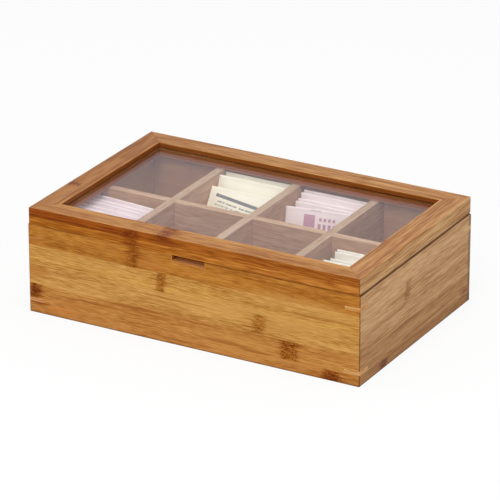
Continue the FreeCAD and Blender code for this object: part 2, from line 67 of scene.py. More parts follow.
towards_camera = Vector((math.sin(CAMERA_AZIMUTH) * math.cos(CAMERA_ELEVATION),
                         -math.cos(CAMERA_AZIMUTH) * math.cos(CAMERA_ELEVATION),
                         math.sin(CAMERA_ELEVATION)))
camera_data = bpy.data.cameras.new("camera")
camera_data.lens, camera_data.sensor_width = CAMERA_LENS, SENSOR
camera_data.clip_start, camera_data.clip_end = CAMERA_NEAR, CAMERA_FAR
camera = bpy.data.objects.new("camera", camera_data)
camera.location = CAMERA_TARGET + towards_camera * CAMERA_DISTANCE
camera.rotation_mode = "QUATERNION"
camera.rotation_quaternion = (-towards_camera).to_track_quat("-Z", "Y")
bpy.context.scene.collection.objects.link(camera)
bpy.context.scene.camera = camera
bpy.context.scene.view_settings.view_transform = "Standard"


# ---------------------------------------------------------------- shader nodes

WHITE = (1.0, 1.0, 1.0, 1.0)


def linear(code):
    """The linear colour of a hex colour such as C08A3E."""
    channels = [int(code[i:i + 2], 16) / 255 for i in (0, 2, 4)]
    return tuple(c / 12.92 if c <= 0.04045 else ((c + 0.055) / 1.055) ** 2.4 for c in channels) + (1.0,)


class Tree:
    """The node tree of a material or of the world, with short calls for the nodes used here."""

    def __init__(self, owner):
        self.owner = owner
        owner.use_nodes = True
        self.tree = owner.node_tree
        self.tree.nodes.clear()

    def node(self, kind, **settings):
        made = self.tree.nodes.new(kind)
        for key, value in settings.items():
            setattr(made, key, value)
        return made

    def feed(self, socket, value):
        if isinstance(value, bpy.types.NodeSocket):
            self.tree.links.new(value, socket)
        else:
            socket.default_value = value

    def math(self, operation, *values, clamp=False):
        made = self.node("ShaderNodeMath", operation=operation, use_clamp=clamp)
        for socket, value in zip(made.inputs, values):
            self.feed(socket, value)
        return made.outputs[0]

    def total(self, *values):
        result = values[0]
        for value in values[1:]:
            result = self.math("ADD", result, value)
        return result

    def times(self, *values):
        result = values[0]
        for value in values[1:]:
            result = self.math("MULTIPLY", result, value)
        return result

    def minus(self, first, second):
        return self.math("SUBTRACT", first, second)

    def larger(self, first, second):
        return self.math("MAXIMUM", first, second)

    def off(self, value, centre):
        """How far a value is from a centre, either way."""
        return self.math("ABSOLUTE", self.minus(value, centre))

    def smooth(self, value, low, high, out_low=0.0, out_high=1.0):
        made = self.node("ShaderNodeMapRange", interpolation_type="SMOOTHSTEP")
        for socket, number in zip(made.inputs, (value, low, high, out_low, out_high)):
            self.feed(socket, number)
        return made.outputs[0]

    def fade(self, value, low, high, peak=1.0):
        """The peak up to the low value, and nothing from the high one on."""
        return self.smooth(value, low, high, peak, 0.0)

    def combine(self, x, y, z):
        made = self.node("ShaderNodeCombineXYZ")
        for socket, value in zip(made.inputs, (x, y, z)):
            self.feed(socket, value)
        return made.outputs[0]

    def split(self, vector):
        made = self.node("ShaderNodeSeparateXYZ")
        self.feed(made.inputs[0], vector)
        return made.outputs

    def scaled(self, xyz, *scales):
        """A point with each coordinate times its own scale."""
        return self.combine(*(self.times(value, scale) for value, scale in zip(xyz, scales)))

    def evenly(self, xyz, scale):
        """A point with all its coordinates times one scale."""
        return self.scaled(xyz, scale, scale, scale)

    def place(self):
        """X, Y and Z of a point in the row frame, in millimetres."""
        where = self.node("ShaderNodeTexCoord").outputs["Object"]
        made = self.node("ShaderNodeVectorMath", operation="SCALE")
        self.feed(made.inputs[0], where)
        made.inputs["Scale"].default_value = 1 / MM
        return self.split(made.outputs[0])

    def noise(self, where, detail=2.0, rough=0.5, distortion=0.0):
        made = self.node("ShaderNodeTexNoise")
        self.feed(made.inputs["Vector"], where)
        made.inputs["Scale"].default_value = 1.0
        made.inputs["Detail"].default_value = detail
        made.inputs["Roughness"].default_value = rough
        made.inputs["Distortion"].default_value = distortion
        return made.outputs["Fac"]

    def mix(self, factor, first, second, blend="MIX"):
        made = self.node("ShaderNodeMix", data_type="RGBA", blend_type=blend)
        self.feed(made.inputs[0], factor)
        self.feed(made.inputs[6], first)
        self.feed(made.inputs[7], second)
        return made.outputs[2]

    def tint(self, colour, other, factor=1.0):
        """A colour multiplied by another one."""
        return self.mix(factor, colour, other, "MULTIPLY")

    def ramp(self, factor, stops):
        made = self.node("ShaderNodeValToRGB")
        self.feed(made.inputs[0], factor)
        elements = made.color_ramp.elements
        while len(elements) < len(stops):
            elements.new(0.5)
        for element, (position, colour) in zip(elements, stops):
            element.position, element.color = position, colour
        return made.outputs[0]

    def bump(self, height, distance_mm, strength=1.0):
        made = self.node("ShaderNodeBump")
        self.feed(made.inputs["Height"], height)
        made.inputs["Distance"].default_value = distance_mm * MM
        made.inputs["Strength"].default_value = strength
        return made.outputs[0]

    def shader(self, kind, **inputs):
        """A shader with its inputs set or linked, where an underscore stands for a space."""
        made = self.node(kind)
        for name, value in inputs.items():
            self.feed(made.inputs[name.replace("_", " ")], value)
        return made.outputs[0]

    def choose(self, factor, first, second):
        """The first shader, or the second one where the factor is 1."""
        made = self.node("ShaderNodeMixShader")
        for socket, value in zip(made.inputs, (factor, first, second)):
            self.feed(socket, value)
        return made.outputs[0]

    def seen(self):
        """1 for what the camera sees, also in a mirror or through glass."""
        path = self.node("ShaderNodeLightPath").outputs
        indirect = self.larger(path["Is Glossy Ray"], path["Is Transmission Ray"])
        return self.larger(path["Is Camera Ray"], indirect)

    def end(self, shader, output="ShaderNodeOutputMaterial"):
        """Lead a shader to the output, and give back the finished material or world."""
        self.feed(self.node(output).inputs["Surface"], shader)
        return self.owner

    def finish(self, **inputs):
        """End the tree in one Principled shader."""
        return self.end(self.shader("ShaderNodeBsdfPrincipled", **inputs))


def material_tree(name):
    return Tree(bpy.data.materials.new(name))


# ---------------------------------------------------------------- bamboo

# A strip's width, and between which places strips meet across an upright and a flat board.
STRIP, UPRIGHT_LIMITS, FLAT_LIMITS = 17.5, (0, 96), (-158, 158)
# Streaks in the wood: length along the grain and width across it, in millimetres.
BROAD, STREAK, FIBRE, VESSEL, SMEAR = (120, 8), (38, 1.4), (10, 0.8), (22, 0.9), (22, 1.1)
MIDDLE_TONE, TONE_STOPS = 0.53, (0.1, 0.5, 0.9)
# How ragged a stain and a knuckle are, and how much a knuckle slants.
STAIN_RAG, KNUCKLE_RAG, KNUCKLE_SLANT = 2.5, 14.0, 0.12
KNUCKLE_SHADE, DASH_SHADE = (0.74, 0.56, 0.30, 1.0), (0.46, 0.27, 0.09, 1.0)
DASH_SCALE, DASH_TWIST = (0.34, 0.62, 0.5), 1.6
# The last colour is the dark of glue in the mitres, and also painted shadow along the seam, the foot, the
# ledge and the right stile.
JOINT_SHADE, JOINT_STRENGTH, GLUE_AND_SHADOW = linear("7A3E10"), 0.12, linear("401802")
GRAIN_DEPTH, SHEEN, SHEEN_TINT = 0.05, 0.15, (1.0, 0.65, 0.22, 1.0)


def tones(red, green, blue):
    """Dark, middle and light colour of a board from its middle colour, in linear light."""
    return ((red * 0.66, green * 0.52, blue * 0.36, 1), (red, green, blue, 1),
            (red * 1.28, green * 1.45, blue * 1.75, 1))


def even_joints(across, offset):
    """Where strips of one width meet on a board, counted from an offset."""
    limits = UPRIGHT_LIMITS if across == "Z" else FLAT_LIMITS
    first, last = (math.ceil((limit - offset) / STRIP) for limit in limits)
    return [offset + STRIP * number for number in range(first, last)]


def stain(t, u, v, spot, streak, colour):
    """Lay a soft patch of another colour on a board, ragged along its streaks."""
    centre_u, centre_v, half_u, half_v, strength, shade = spot
    du = t.math("DIVIDE", t.minus(u, centre_u), half_u)
    dv = t.math("DIVIDE", t.minus(v, centre_v), half_v)
    distance = t.total(t.times(du, du), t.times(dv, dv))
    ragged = t.total(distance, t.times(streak, STAIN_RAG))
    return t.mix(t.times(t.fade(ragged, 0.0, 1.3), strength), colour, shade)


def knuckle(t, u, v, spot, marks, colour):
    """Darken one bamboo knuckle: a warm stain with smears along the grain, and dark dashes inside.

    marks: how ragged its outline is, the smears and the dashes.
    """
    centre_u, centre_v, half_u, half_v, strength = spot
    ragged, smears, dashes = marks
    slant = t.times(t.minus(v, centre_v), KNUCKLE_SLANT)
    along = t.math("ABSOLUTE", t.minus(t.minus(u, centre_u), slant))
    along = t.total(along, ragged)
    within = t.times(t.fade(t.off(v, centre_v), half_v - 0.6, half_v + 0.4), strength)
    core = t.fade(along, half_u * 0.3, half_u * 1.1)
    halo = t.times(t.fade(along, half_u * 0.5, half_u * 2.6), smears)
    colour = t.tint(colour, KNUCKLE_SHADE, t.times(t.larger(core, halo), within))
    return t.tint(colour, DASH_SHADE, t.times(core, dashes, within))


def bamboo(name, along, across, middle, joints=None, offset=0.0, seed=0.0, strips=0.3, strip_tints=None,
           knuckles=(), stains=(), finish=None, rough=0.45, contrast=1.0, stretch=1.0):
    """Laminated bamboo: strips glued side by side, with fibres along the grain.

    along, across: the axes of the grain and of the strips' width. middle: the board's own
    linear colour. joints: where strips meet, in millimetres, or every STRIP from offset.
    strips: how much their tones differ. strip_tints: what each strip's colour is multiplied
    by. knuckles: (place along, place across, half length, half height, strength) each.
    stains: soft patches, written alike with their colour last. finish: colours that depend
    on the face and on the joints between boards. stretch: how much longer the streaks are.
    """
    t = material_tree(name)
    xyz = t.place()
    u, v = xyz["XYZ".index(along)], xyz["XYZ".index(across)]
    w = next(xyz[number] for number, axis in enumerate("XYZ") if axis not in along + across)

    def grain(size, detail, shift=0.0, rough_share=0.55, longer=1.0):
        length, width = size
        return t.noise(t.combine(t.math("MULTIPLY_ADD", u, 1 / (length * longer), seed + shift),
                                 t.math("MULTIPLY_ADD", v, 1 / width, seed * 1.7 + shift),
                                 t.math("MULTIPLY_ADD", w, 1 / width, seed * 2.3)), detail, rough_share)

    strip, line, steps = 0.0, 0.0, []
    for joint in even_joints(across, offset) if joints is None else joints:
        steps.append(t.math("GREATER_THAN", v, joint))
        strip = t.total(strip, steps[-1])
        line = t.larger(line, t.fade(t.off(v, joint), 0.1, 0.5))
    chance = t.node("ShaderNodeTexWhiteNoise", noise_dimensions="1D")
    t.feed(chance.inputs["W"], t.total(strip, seed))
    own = t.minus(chance.outputs["Value"], 0.5)

    broad = t.minus(grain(BROAD, 1.0), 0.5)
    streak = t.minus(grain(STREAK, 3.0, 5.0, 0.75, stretch), 0.5)
    fibre = t.minus(grain(FIBRE, 1.0, 9.0, longer=stretch), 0.5)
    vessel = t.smooth(grain(VESSEL, 1.0, 13.0, longer=stretch), 0.6, 0.72)
    tone = t.total(MIDDLE_TONE, t.times(own, strips), t.times(broad, 0.8 * contrast),
                   t.times(streak, 1.4 * contrast), t.times(fibre, 1.4 * contrast),
                   t.times(vessel, -0.3 * contrast))
    colour = t.ramp(tone, list(zip(TONE_STOPS, tones(*middle))))
    if strip_tints is not None:
        tint = strip_tints[0] + (1,)
        for step, other in zip(steps, strip_tints[1:]):
            tint = t.mix(step, tint, other + (1,))
        colour = t.tint(colour, tint)
    for spot in stains:
        colour = stain(t, u, v, spot, streak, colour)
    smear = grain(SMEAR, 2.0, 3.0)
    dash = t.noise(t.scaled((u, v, w), *DASH_SCALE), 2.0, 0.6, DASH_TWIST)
    marks = (t.math("MULTIPLY_ADD", smear, -KNUCKLE_RAG, KNUCKLE_RAG / 2), t.smooth(smear, 0.46, 0.64),
             t.smooth(dash, 0.44, 0.54))
    for spot in knuckles:
        colour = knuckle(t, u, v, spot, marks, colour)
    colour = t.mix(t.times(line, JOINT_STRENGTH), colour, JOINT_SHADE)
    if finish is not None:
        colour = finish(t, xyz, colour)
    height = t.total(t.times(fibre, 0.8), t.times(streak, 0.6), t.times(line, -0.5))
    return t.finish(Base_Color=colour, Normal=t.bump(height, GRAIN_DEPTH, 0.6),
                    Roughness=t.math("MULTIPLY_ADD", streak, 0.25, rough),
                    Specular_IOR_Level=SHEEN, Specular_Tint=SHEEN_TINT)


# ---------------------------------------------------------------- where boards meet

# Two values in brackets are places in millimetres between which something comes or fades,
# and a third one is its strength.

# Bare wood inside the box. Finger notch: floor painted lit, back and ends painted shade, edge painted
# highlight.
INSIDE = (0.49, 0.275, 0.14)
NOTCH_FLOOR_LIT, NOTCH_BACK_SHADE = (0.60, 0.255, 0.095, 1), (0.16, 0.035, 0.006, 1)
NOTCH_EDGE_HIGHLIGHT = (0.56, 0.235, 0.085, 1)
# The lid's opening: inner face and lip below the pane, both painted shade, and a dark line along the pane's
# top.
INNER_FACE_SHADE, LOWER_LIP_SHADE, PANE_LINE = (0.24, 0.058, 0.008, 1), (0.30, 0.11, 0.045, 1), linear("4A1000")
PANE_LINE_DROP, PANE_LINE_REACH = 0.2, (0.6, 0.9)
# Tints of the right board's back edge (painted shade), the opening's arris (painted highlight) and the right
# stile's outer face.
BACK_EDGE_SHADE, ARRIS_HIGHLIGHT = (0.56, 0.56, 0.62, 1), (1.22, 1.28, 1.28, 1)
# The right stile's outer face is painted paler and greyer, as if lit from the side.
RIGHT_FACE_PAINTED_LIGHT = (1.05, 1.15, 1.27, 1)
# The front rail's tint at its left and right end, and what its upper part is tinted with too.
# The tints darken the rail towards its left, partly as painted shade, as the light comes more from the right.
RAIL_TINTS_AND_SHADE = ((1.0, 0.80, 0.32, 1), (1.0, 0.82, 0.52, 1))
UPPER_TINTS_AND_SHADE = ((0.56, 0.34, 0.20, 1), (0.80, 0.68, 0.52, 1))
TINT_REACH, UPPER_PART = (-110, 110), (86.2, 88.2)
# Inner and outer faces, glue in the mitres, painted shadow along the foot and under the right stile.
INNER_SKIN, OUTER_SKIN, BASE_GLUE, LID_GLUE = (0.05, 0.4), (-0.5, -0.1), (0.2, 0.75, 0.65), (0.15, 0.6)
FOOT_SHADOW, STILE_SHADOW = (0.5, 1.7, 0.7), (BASE_HEIGHT + 0.7, BASE_HEIGHT + 1.2)
# The seam's dark line, a painted shadow: how far from the seam it is full and gone, its strength where the
# seam is open, how much weaker it is where the seam is tight, and where that is on the front: between two
# places along X, and again at the left end.
SEAM_FULL, SEAM_GONE, SEAM_OPEN, SEAM_TIGHTER = 0.2, 0.75, 0.9, 0.75
TIGHT_FROM, TIGHT_TO, TIGHT_END = (-100, -92), (12, 24), (-146, -140)
FRONT_ZONE = (-95, -90)


def mitre_distance(t, xyz, half_x, half_y):
    """Distance of a point from the nearest mitre plane of a frame, in millimetres."""
    from_side = t.minus(half_x, t.math("ABSOLUTE", xyz[0]))
    from_end = t.minus(half_y, t.math("ABSOLUTE", xyz[1]))
    return t.times(t.math("ABSOLUTE", t.minus(from_side, from_end)), math.sqrt(0.5))


def beyond(t, xyz, half_x, half_y):
    """How far a point lies outside a rectangle, or inside it when negative, in millimetres."""
    return t.larger(t.minus(t.math("ABSOLUTE", xyz[0]), half_x), t.minus(t.math("ABSOLUTE", xyz[1]), half_y))


def at_skin(t, value, face):
    """1 on a face and a little way under it, for a face at the value's upper end."""
    return t.smooth(value, face - 0.5, face - 0.2)


def front_face(t, xyz, peak=1.0):
    """The peak on the front's outer face, and nothing from a little way behind it."""
    return t.fade(xyz[1], -HALF_DEPTH + 0.25, -HALF_DEPTH + 0.6, peak)


def seam_shadow_strength(t, xyz):
    """Strength of the seam's painted shadow: weaker where the seam is tight, at the front's left end and over
    most of its left half, and full where it is open elsewhere.
    """
    tight = t.times(t.smooth(xyz[0], *TIGHT_FROM), t.fade(xyz[0], *TIGHT_TO))
    tight = t.larger(tight, t.fade(xyz[0], *TIGHT_END))
    tight = t.times(tight, t.fade(xyz[1], *FRONT_ZONE))
    return t.math("MULTIPLY_ADD", tight, -SEAM_TIGHTER, SEAM_OPEN)


def base_finish(t, xyz, colour):
    """A base board: bare inside, with glue in the mitres, and painted shadow along the seam under the lid and
    along its foot.
    """
    inside = t.fade(beyond(t, xyz, INNER_X, INNER_Y), *INNER_SKIN)
    colour = t.mix(inside, colour, t.mix(0.75, colour, INSIDE + (1,)))
    glue = t.fade(mitre_distance(t, xyz, HALF_WIDTH, HALF_DEPTH), *BASE_GLUE)
    colour = t.mix(t.times(glue, t.minus(1.0, inside)), colour, GLUE_AND_SHADOW)
    outside = t.smooth(beyond(t, xyz, HALF_WIDTH, HALF_DEPTH), *OUTER_SKIN)
    # Painted shadow along the seam under the lid, weaker where the seam is tight.
    seam_shadow = t.times(t.smooth(xyz[2], BASE_HEIGHT - SEAM_GONE, BASE_HEIGHT - SEAM_FULL),
                   seam_shadow_strength(t, xyz), outside)
    # Painted shadow along the foot, joined with the seam's.
    return t.mix(t.larger(seam_shadow, t.fade(xyz[2], *FOOT_SHADOW)), colour, GLUE_AND_SHADOW)


def right_finish(t, xyz, colour):
    """The right board, with painted shade along its back edge and on the narrow ledge beside the lid."""
    outer = t.smooth(xyz[0], LID_HALF_WIDTH, LID_HALF_WIDTH + 0.2)
    # Painted shade along the outer face's back edge, as on a rounded corner turning from the light.
    back_edge_shade = t.times(outer, t.smooth(xyz[1], HALF_DEPTH - 6.0, HALF_DEPTH - 4.5))
    colour = base_finish(t, xyz, colour)
    colour = t.mix(back_edge_shade, colour, t.tint(colour, BACK_EDGE_SHADE))
    # Painted shadow on the narrow ledge beside the lid.
    return t.mix(t.times(outer, at_skin(t, xyz[2], BASE_HEIGHT)), colour, GLUE_AND_SHADOW)


def front_finish(t, xyz, colour):
    """The front board, whose finger notch is redder inside, its floor painted lighter as if lit, its back and
    ends painted dark as shade, and a paler edge around it, painted as a highlight.
    """
    from_middle = t.off(xyz[0], NOTCH_CENTRE)
    below = t.minus(NOTCH_BOTTOM, xyz[2])
    off_notch = t.larger(t.minus(from_middle, NOTCH_HALF), below)
    # A painted highlight around the notch on the front face.
    edge_highlight = t.times(t.smooth(off_notch, -0.1, 0.2), t.fade(off_notch, 0.5, 1.5), front_face(t, xyz, 0.4))
    colour = base_finish(t, xyz, t.mix(edge_highlight, colour, NOTCH_EDGE_HIGHLIGHT))
    # Inside the notch: the floor painted lighter as if lit, the back and ends painted dark as shade.
    within = t.times(t.fade(from_middle, NOTCH_HALF - 0.2, NOTCH_HALF + 0.1),
                     t.smooth(xyz[2], NOTCH_BOTTOM - 0.4, NOTCH_BOTTOM - 0.1),
                     t.smooth(xyz[1], -HALF_DEPTH + 0.1, -HALF_DEPTH + 0.7),
                     t.fade(xyz[1], NOTCH_END + 0.5, NOTCH_END + 1.5))
    wall = t.times(t.smooth(xyz[1], NOTCH_END - 0.6, NOTCH_END - 0.2),
                   t.smooth(xyz[2], NOTCH_BOTTOM + 0.1, NOTCH_BOTTOM + 1.0))
    deep_shade = t.larger(wall, t.smooth(from_middle, NOTCH_HALF - 1.8, NOTCH_HALF - 0.6))
    return t.mix(t.times(within, 0.8), colour, t.mix(deep_shade, NOTCH_FLOOR_LIT, NOTCH_BACK_SHADE))


def lid_finish(t, xyz, colour):
    """A lid board: painted darker and redder in the opening as shade, with a dark line at the pane, a painted
    highlight on the opening's arris, glue in the mitres, and painted shadow along the seam.
    """
    opening = beyond(t, xyz, OPENING_X, OPENING_Y)
    inner = t.fade(opening, *INNER_SKIN)
    lip_top = PANE_TOP - PANE_THICKNESS
    # The opening's inner face and the lip below the pane, painted darker and redder as shade.
    opening_shade = t.mix(t.smooth(xyz[2], lip_top - 0.2, lip_top + 0.2), LOWER_LIP_SHADE, INNER_FACE_SHADE)
    colour = t.mix(t.times(inner, 0.85), colour, opening_shade)
    # A dark line along the pane's top edge.
    pane_line = t.times(inner, t.fade(t.off(xyz[2], PANE_TOP - PANE_LINE_DROP), *PANE_LINE_REACH))
    colour = t.mix(pane_line, colour, PANE_LINE)
    # A painted highlight along the opening's arris on the top face.
    arris_highlight = t.times(t.smooth(opening, 0.1, 0.4), t.fade(opening, 1.0, 1.6),
                    t.smooth(xyz[2], LID_TOP - 0.9, LID_TOP - 0.5))
    colour = t.mix(arris_highlight, colour, t.tint(colour, ARRIS_HIGHLIGHT))
    outside = t.smooth(beyond(t, xyz, LID_HALF_WIDTH, HALF_DEPTH), *OUTER_SKIN)
    glue = t.fade(mitre_distance(t, xyz, LID_HALF_WIDTH, HALF_DEPTH), *LID_GLUE)
    colour = t.mix(t.times(glue, t.math("MULTIPLY_ADD", outside, 0.65, 0.2)), colour, GLUE_AND_SHADOW)
    # Painted shadow along the seam above the base.
    seam_shadow = t.times(t.fade(xyz[2], BASE_HEIGHT + SEAM_FULL, BASE_HEIGHT + SEAM_GONE),
                   seam_shadow_strength(t, xyz), outside)
    return t.mix(seam_shadow, colour, GLUE_AND_SHADOW)


def lid_front_finish(t, xyz, colour):
    """The front rail, whose outer face is redder than its top, most of all at its upper left; its darkening
    to the left is partly painted shade.
    """
    to_right = t.smooth(xyz[0], *TINT_REACH)
    tint, upper = t.mix(to_right, *RAIL_TINTS_AND_SHADE), t.mix(to_right, *UPPER_TINTS_AND_SHADE)
    tint = t.mix(t.smooth(xyz[2], *UPPER_PART), tint, t.tint(tint, upper))
    return lid_finish(t, xyz, t.mix(front_face(t, xyz), colour, t.tint(colour, tint)))


def lid_right_finish(t, xyz, colour):
    """The right stile, whose outer face is painted paler and greyer than its top, as if lit from the side,
    with a painted shadow along its lower edge.
    """
    outer = at_skin(t, xyz[0], LID_HALF_WIDTH)
    # A painted shadow along the outer face's lower edge, and the face painted paler and greyer as if lit from
    # the side.
    shadow = t.times(outer, t.fade(xyz[2], *STILE_SHADOW))
    colour = t.mix(outer, colour, t.tint(colour, RIGHT_FACE_PAINTED_LIGHT))
    return t.mix(shadow, lid_finish(t, xyz, colour), GLUE_AND_SHADOW)


def pale_top(tint):
    """The finish of a divider, whose top face and top edge are paler."""
    def divider_finish(t, xyz, colour):
        return t.mix(at_skin(t, xyz[2], RIM), colour, t.tint(colour, tint + (1,)))

    return divider_finish


# ---------------------------------------------------------------- the boards

def dress(label, material):
    """Give a CAD node its material."""
    slots = nodes[label].data.materials
    slots.clear()
    slots.append(material)


GOLD, SIDE = (0.437, 0.191, 0.043), (0.415, 0.217, 0.085)
UMBER, RUSSET = (0.30, 0.10, 0.018, 1), (0.43, 0.165, 0.035, 1)
HONEY, STRAW, SAND = (0.60, 0.34, 0.10, 1), (0.60, 0.33, 0.09, 1), (0.56, 0.29, 0.075, 1)
FRONT_STAINS = [
    # soft lighter and redder stretches
    (100, 60, 60, 8, 0.3, HONEY), (-90, 57, 60, 6, 0.15, (0.58, 0.33, 0.10, 1)),
    (60, 42, 90, 9, 0.5, STRAW), (60, 14, 80, 10, 0.4, SAND),
    # thin dark streaks
    (-52, 24.8, 46, 1.2, 0.9, UMBER), (-90, 20.5, 30, 1.3, 0.9, UMBER), (-40, 21.5, 25, 1.0, 0.7, UMBER),
    (35, 13, 30, 2.0, 0.8, UMBER), (62, 10.5, 20, 1.5, 0.8, UMBER), (8, 24, 24, 1.1, 0.8, UMBER),
    (-20, 40, 45, 1.1, 0.6, UMBER), (120, 53, 35, 1.3, 0.6, UMBER), (-10, 5, 40, 1.2, 0.6, UMBER),
    # redder and darker patches, some of them around knuckles, and at (-146, 9) a painted shadow under the
    # lower left corner key
    (-112, 14, 28, 3.2, 0.8, RUSSET), (-125, 7, 18, 4, 0.5, (0.55, 0.19, 0.04, 1)),
    (-148, 38, 14, 7, 0.6, RUSSET), (-38, 69, 15, 8, 0.6, RUSSET),
    (-151, 20, 10, 7, 0.6, (0.22, 0.048, 0.006, 1)), (-146, 9.0, 12, 1.7, 1.0, (0.24, 0.07, 0.01, 1)),
    (131, 3.5, 11, 5, 0.6, (0.25, 0.06, 0.007, 1)),
    # more thin dark streaks, over the patches
    (125, 21.5, 24, 0.9, 0.55, UMBER), (138, 17.5, 20, 0.8, 0.45, UMBER),
    (112, 13.5, 20, 0.8, 0.45, UMBER), (-118, 20, 26, 1.0, 0.7, UMBER)]
dress("front_panel", bamboo(
    "bamboo_front", "X", "Z", GOLD, (10.0, 26.5, 45.0, 62.0), seed=3.1, strips=0.05,
    strip_tints=[(0.96, 0.90, 0.90), (1.0, 1.0, 1.0), (1.09, 1.22, 1.32), (1.09, 1.22, 1.20),
                 (0.88, 0.76, 0.48)],
    knuckles=[(-55, 70.5, 8, 9.5, 0.75), (-28, 53.5, 6, 8.5, 0.9), (64, 36, 9, 8.5, 0.7),
              (92, 18, 12, 8.5, 0.95), (131, 4.5, 11, 5, 1.0), (-151, 20, 7, 7, 1.0)],
    stains=FRONT_STAINS, finish=front_finish))
dress("back_panel", bamboo(
    "bamboo_back", "X", "Z", GOLD, offset=7.0, seed=14.7, strips=0.2, finish=base_finish,
    knuckles=[(80, 51, 6, 8.5, 0.7), (-20, 15, 7, 8.5, 0.7), (-110, 68, 6, 8.5, 0.6)]))
dress("right_panel", bamboo(
    "bamboo_right", "Y", "Z", SIDE, offset=9.0, seed=8.3, strips=0.05, contrast=0.95, stretch=1.5,
    strip_tints=[(0.66, 0.54, 0.36), (0.84, 0.76, 0.64), (1.0, 1.0, 1.0), (1.08, 1.12, 1.15),
                 (1.14, 1.2, 1.3)],
    knuckles=[(-17, 54, 7, 8.5, 0.6), (-58, 4, 7, 4, 1.0)],
    stains=[(-59, 4, 9, 4.5, 0.6, (0.24, 0.065, 0.010, 1)), (88, 13, 8, 4, 0.6, (0.26, 0.08, 0.015, 1)),
            (-15, 25.5, 45, 1.8, 0.9, (0.22, 0.085, 0.022, 1)),
            (20, 13, 45, 1.8, 0.9, (0.26, 0.10, 0.024, 1))],
    finish=right_finish))
dress("left_panel", bamboo(
    "bamboo_left", "Y", "Z", SIDE, offset=4.0, seed=21.9, strips=0.15, finish=base_finish,
    knuckles=[(30, 36, 7, 8.5, 0.6)]))
dress("bottom_panel", bamboo(
    "bamboo_bottom", "X", "Y", INSIDE, offset=2.0, seed=31.0, rough=0.6, contrast=0.6))

LID_JOINTS = (87.0,)
dress("lid_front_rail", bamboo(
    "bamboo_lid_front", "X", "Z", (0.41, 0.176, 0.043), LID_JOINTS, seed=5.2, strips=0.05,
    contrast=1.6, stretch=1.6, finish=lid_front_finish,
    knuckles=[(-57, 87, 10, 7.6, 0.7), (-27, 96, 9, 4, 0.9), (130, 87, 5, 2.5, 0.4)],
    stains=[(-22, 90, 16, 3.5, 0.6, (0.20, 0.055, 0.008, 1))]))
dress("lid_back_rail", bamboo(
    "bamboo_lid_back", "X", "Z", (0.43, 0.20, 0.060), LID_JOINTS, seed=17.4, strips=0.15,
    contrast=1.6, stretch=2.5, finish=lid_finish, knuckles=[(60, 92, 7, 9, 0.3)]))
dress("lid_left_stile", bamboo(
    "bamboo_lid_left", "Y", "X", (0.325, 0.128, 0.031), offset=1.0, seed=27.7, strips=0.1,
    contrast=1.8, stretch=2.5, finish=lid_finish, knuckles=[(-37, -150, 4, 6, 0.9)]))
dress("lid_right_stile", bamboo(
    "bamboo_lid_right", "Y", "X", (0.425, 0.20, 0.064), offset=-6.0, seed=37.3, strips=0.1,
    contrast=1.5, stretch=2.5, finish=lid_right_finish))

dress("long_divider", bamboo(
    "bamboo_long_divider", "X", "Z", INSIDE, offset=9.0, seed=41.0, rough=0.6, strips=0.1,
    contrast=0.6, finish=pale_top((1.12, 1.28, 1.43))))
for number in range(1, COLUMNS):
    dress(f"cross_divider_{number}", bamboo(
        f"bamboo_cross_divider_{number}", "Y", "Z", INSIDE, offset=9.0, seed=43.0 + number,
        rough=0.6, strips=0.1, contrast=0.6, finish=pale_top((0.98, 1.15, 1.31))))

# Each kind of corner key: its colour, its seed and the keys that are of it; the rest are pale.
KEYS = {
    "pale": ((0.58, 0.34, 0.14), 51.0, []),
    "faint": ((0.53, 0.27, 0.09), 53.0, ["front_right_lower"]),
    "plain": ((0.39, 0.15, 0.03), 55.0, ["front_left_upper"]),
    # The back right lower key is coloured dark as a painted shade, where it stands in shade.
    "dark": ((0.24, 0.08, 0.03), 57.0, ["back_right_lower"]),
    "pink": ((0.50, 0.225, 0.085), 59.0, ["front_left_lower"]),
    "matched": ((0.48, 0.225, 0.065), 61.0, ["front_right_upper"]),
}
key_materials = {kind: bamboo(f"bamboo_key_{kind}", "X", "Z", colour, offset=3.0, seed=seed, strips=0.1)
                 for kind, (colour, seed, _) in KEYS.items()}
key_kinds = {f"corner_key_{corner}": kind for kind, (_, _, corners) in KEYS.items() for corner in corners}
for label in nodes:
    if label.startswith("corner_key"):
        dress(label, key_materials[key_kinds.get(label, "pale")])


# ---------------------------------------------------------------- pane and brass

PANE_INDEX, PANE_ROUGHNESS, SMUDGE_SCALE = 1.2, 0.006, 0.02
PANE_TINTS, CLEAR_TINT = ((0.97, 0.96, 0.98, 1), (0.99, 0.98, 1.0, 1)), (0.96, 0.96, 0.97, 1)
BRASS, TARNISHED = linear("C9A24E"), linear("9A7430")
BRUSH_ALONG, BRUSH_ACROSS, TARNISH_SCALE, BRUSH_DEPTH = 0.3, 4, 0.15, 0.02


def pane():
    """Clear pane: lamps and the light that wood scatters pass straight through it."""
    t = material_tree("window_glass")
    smudge = t.noise(t.scaled(t.place(), SMUDGE_SCALE, SMUDGE_SCALE, 0.0), 3.0)
    shader = t.shader("ShaderNodeBsdfPrincipled", Transmission_Weight=1.0, IOR=PANE_INDEX,
                      Roughness=t.smooth(smudge, 0.3, 0.8, 0.0, PANE_ROUGHNESS),
                      Base_Color=t.mix(smudge, *PANE_TINTS))
    clear = t.shader("ShaderNodeBsdfTransparent", Color=CLEAR_TINT)
    path = t.node("ShaderNodeLightPath").outputs
    for ray in ("Is Shadow Ray", "Is Diffuse Ray"):
        shader = t.choose(path[ray], shader, clear)
    return t.end(shader)


